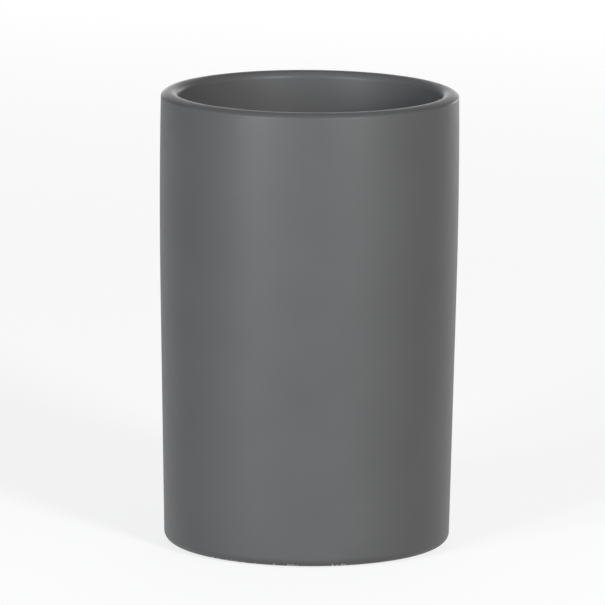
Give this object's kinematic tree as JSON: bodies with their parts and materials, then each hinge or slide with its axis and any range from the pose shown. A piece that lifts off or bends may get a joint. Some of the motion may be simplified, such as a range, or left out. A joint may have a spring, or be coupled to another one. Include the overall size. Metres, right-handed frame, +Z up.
{
  "type": "bathroom tumbler",
  "caption": "Round straight-sided ceramic tumbler with a matte grey glaze, a rounded rim, a bare foot ring and rubber bumpers underneath; holds toothbrushes or drinking water.",
  "frame": {"origin": "on the cup's axis, in the plane of the bumpers' undersides, which is the surface the tumbler stands on", "axes": "+Z up along the cup's axis, out of its mouth; +X towards rubber_bumper_1; -Y towards the viewer of the picture"},
  "size_m": [0.0752, 0.0752, 0.115],
  "materials": {
    "fired_clay": "matte",
    "matte_glaze": "matte",
    "bumper_rubber": "matte",
    "adhesive": "satin"
  },
  "bodies": {
    "root": {"ceramic_body": "fired_clay", "glaze_coat": "matte_glaze", "base_glaze": "matte_glaze", "rubber_bumper_1": "bumper_rubber", "rubber_bumper_2": "bumper_rubber", "rubber_bumper_3": "bumper_rubber", "bumper_adhesive_1": "adhesive", "bumper_adhesive_2": "adhesive", "bumper_adhesive_3": "adhesive"}
  },
  "joints": []
}
